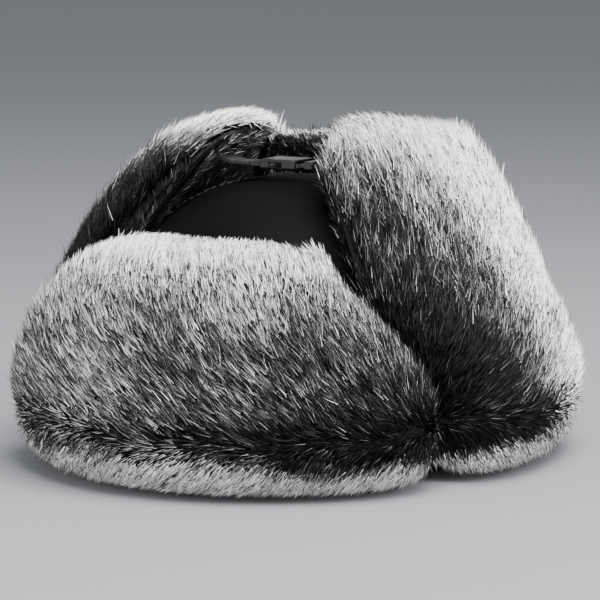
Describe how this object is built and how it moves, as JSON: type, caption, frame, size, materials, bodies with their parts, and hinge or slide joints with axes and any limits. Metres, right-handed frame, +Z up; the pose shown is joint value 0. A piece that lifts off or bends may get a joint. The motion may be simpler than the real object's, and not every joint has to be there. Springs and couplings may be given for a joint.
{
  "type": "trapper hat",
  "caption": "Trapper hat with a smooth domed leather crown, deep fur flaps folded up all round, and a buckled strap over the top.",
  "frame": {"origin": "on the hat's flat lower edge, under the middle of the crown, where the head goes in", "axes": "+Z up through the crown, +X to the wearer's left, -Y to the front"},
  "size_m": [0.2822, 0.3164, 0.1677],
  "materials": {
    "leather": "smooth, low sheen",
    "band_leather": "smooth, dull",
    "wadding": "non-woven felt",
    "lining": "quilted satin",
    "interlining": "woven, matt",
    "fur": "long pile, black at the root and white at the tip",
    "webbing": "ribbed webbing",
    "plastic": "moulded, fine grain",
    "thread": "twisted thread"
  },
  "bodies": {
    "hat": {"crown_wedge_front": "leather", "crown_wedge_left": "leather", "crown_wedge_back": "leather", "crown_wedge_right": "leather", "crown_wadding": "wadding", "crown_lining": "lining", "sweatband": "band_leather", "edge_binding": "band_leather", "front_flap_shell": "leather", "front_flap_interlining": "interlining", "front_flap_fur": "fur", "front_flap_tack_left": "thread", "front_flap_tack_right": "thread", "front_fold_strip": "band_leather", "neck_fold_strip": "band_leather", "left_fold_strip": "band_leather", "right_fold_strip": "band_leather"},
    "neck_flap": {"neck_flap_shell": "leather", "neck_flap_interlining": "interlining", "neck_flap_fur": "fur"},
    "left_ear": {"left_ear_flap_shell": "leather", "left_ear_flap_interlining": "interlining", "left_ear_flap_fur": "fur", "left_strap_anchor": "webbing"},
    "right_ear": {"right_ear_flap_shell": "leather", "right_ear_flap_interlining": "interlining", "right_ear_flap_fur": "fur", "right_strap_anchor": "webbing"},
    "left_strap_half": {"left_strap": "webbing", "buckle_socket": "plastic"},
    "slider": {"strap_slider": "plastic"},
    "right_strap_half": {"right_strap": "webbing", "buckle_plug": "plastic"},
    "arm_front": {"buckle_arm_front": "plastic"},
    "arm_back": {"buckle_arm_back": "plastic"}
  },
  "joints": [
    {"name": "left_ear_fold", "type": "hinge", "parent": "hat", "child": "left_ear", "pos_m": [0.121, 0, 0.0205], "axis": [0, 1, 0], "range_deg": [0, 180]},
    {"name": "right_ear_fold", "type": "hinge", "parent": "hat", "child": "right_ear", "pos_m": [-0.121, 0, 0.0205], "axis": [0, -1, 0], "range_deg": [0, 180]},
    {"name": "neck_fold", "type": "hinge", "parent": "hat", "child": "neck_flap", "pos_m": [0, 0.138, 0.0205], "axis": [-1, 0, 0], "range_deg": [0, 180]},
    {"name": "left_strap_swing", "type": "hinge", "parent": "left_ear", "child": "left_strap_half", "pos_m": [0.027, -0.016, 0.148], "axis": [0, 1, 0], "range_deg": [0, 90]},
    {"name": "right_strap_swing", "type": "hinge", "parent": "right_ear", "child": "right_strap_half", "pos_m": [-0.027, -0.016, 0.148], "axis": [0, -1, 0], "range_deg": [0, 90]},
    {"name": "strap_slide", "type": "slide", "parent": "left_strap_half", "child": "slider", "axis": [1, 0, 0], "range_m": [-0.004, 0.004]},
    {"name": "buckle_squeeze_front", "type": "hinge", "parent": "right_strap_half", "child": "arm_front", "pos_m": [-0.009, -0.0211, 0.148], "axis": [0, 0, 1], "range_deg": [0, 18], "stiffness_Nm_per_rad": 0.02},
    {"name": "buckle_squeeze_back", "type": "hinge", "parent": "right_strap_half", "child": "arm_back", "pos_m": [-0.009, -0.0109, 0.148], "axis": [0, 0, -1], "range_deg": [0, 18], "stiffness_Nm_per_rad": 0.02}
  ]
}
